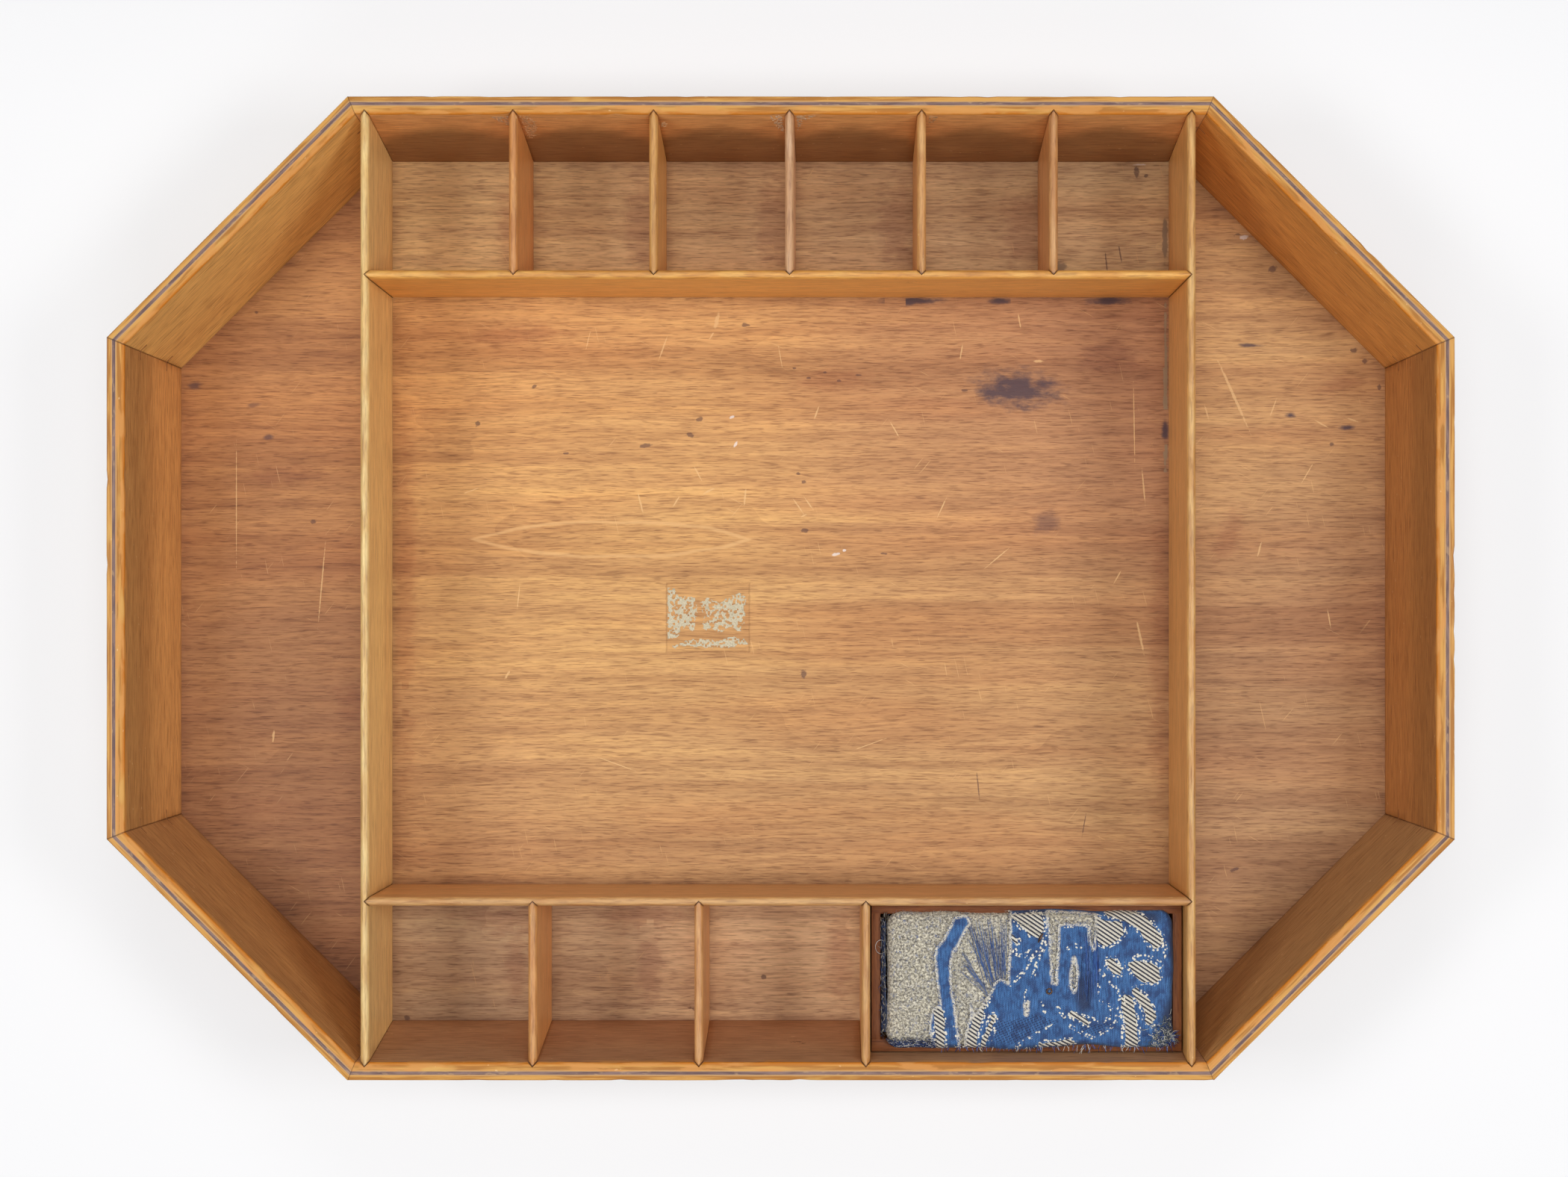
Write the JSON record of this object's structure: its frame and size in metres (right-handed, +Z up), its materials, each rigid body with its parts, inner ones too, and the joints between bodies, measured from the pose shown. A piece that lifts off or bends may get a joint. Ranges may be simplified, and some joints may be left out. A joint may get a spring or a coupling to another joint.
{
  "type": "sewing box tray",
  "caption": "Elongated octagonal wooden sewing tray with canted walls, partitioned side cells, a large main well and a lift-out pincushion box.",
  "frame": {"origin": "middle of the underside of the base panel, on the surface the tray stands on", "axes": "+X along the long rim, +Y towards the row of small back cells, +Z up out of the tray"},
  "size_m": [0.459, 0.335, 0.055],
  "materials": {
    "outer_ply": "worn varnish over pale plywood veneer",
    "core_ply": "dark purple-grey end-grain core",
    "inner_ply": "aged satin varnish on golden veneer",
    "base_ply": "bare aged plywood",
    "floor_veneer": "aged satin varnish with fine grain, scratches and stains",
    "divider_wood": "satin varnish",
    "key_veneer": "sanded flush",
    "rusty_steel": "dull, lightly rusted",
    "label_paper": "torn remains of a grey paper label",
    "box_wood": "unvarnished reddish brown softwood",
    "stuffing": "packed fibre",
    "grey_wool": "coarse melange wool cloth",
    "brocade": "blue twill ground with off-white figure, torn and frayed",
    "pin_steel": "tarnished"
  },
  "bodies": {
    "tray": {"back_wall_outer_ply": "outer_ply", "back_wall_core_ply": "core_ply", "back_wall_inner_ply": "inner_ply", "front_wall_outer_ply": "outer_ply", "front_wall_core_ply": "core_ply", "front_wall_inner_ply": "inner_ply", "right_wall_outer_ply": "outer_ply", "right_wall_core_ply": "core_ply", "right_wall_inner_ply": "inner_ply", "left_wall_outer_ply": "outer_ply", "left_wall_core_ply": "core_ply", "left_wall_inner_ply": "inner_ply", "back_right_wall_outer_ply": "outer_ply", "back_right_wall_core_ply": "core_ply", "back_right_wall_inner_ply": "inner_ply", "back_left_wall_outer_ply": "outer_ply", "back_left_wall_core_ply": "core_ply", "back_left_wall_inner_ply": "inner_ply", "front_right_wall_outer_ply": "outer_ply", "front_right_wall_core_ply": "core_ply", "front_right_wall_inner_ply": "inner_ply", "front_left_wall_outer_ply": "outer_ply", "front_left_wall_core_ply": "core_ply", "front_left_wall_inner_ply": "inner_ply", "base_bottom_ply": "base_ply", "base_middle_ply": "base_ply", "base_top_ply": "floor_veneer", "left_cross_divider": "divider_wood", "right_cross_divider": "divider_wood", "back_row_divider": "divider_wood", "front_row_divider": "divider_wood", "back_cell_divider_1": "divider_wood", "back_cell_divider_2": "divider_wood", "back_cell_divider_3": "divider_wood", "back_cell_divider_4": "divider_wood", "back_cell_divider_5": "divider_wood", "front_cell_divider_1": "divider_wood", "front_cell_divider_2": "divider_wood", "front_cell_divider_3": "divider_wood", "corner_keys": "key_veneer", "base_brads": "rusty_steel", "paper_label_scrap": "label_paper"},
    "pincushion_box": {"box_back_strip": "box_wood", "box_front_strip": "box_wood", "box_left_strip": "box_wood", "box_right_strip": "box_wood", "box_bottom_board": "box_wood", "box_nails": "rusty_steel", "cushion_stuffing": "stuffing", "wool_cover": "grey_wool", "brocade_cover": "brocade", "brocade_remnant": "brocade", "stuck_pin": "pin_steel"}
  },
  "joints": [
    {"name": "pincushion_lift", "type": "slide", "parent": "tray", "child": "pincushion_box", "axis": [0, 0, 1], "range_m": [0, 0.06]}
  ]
}
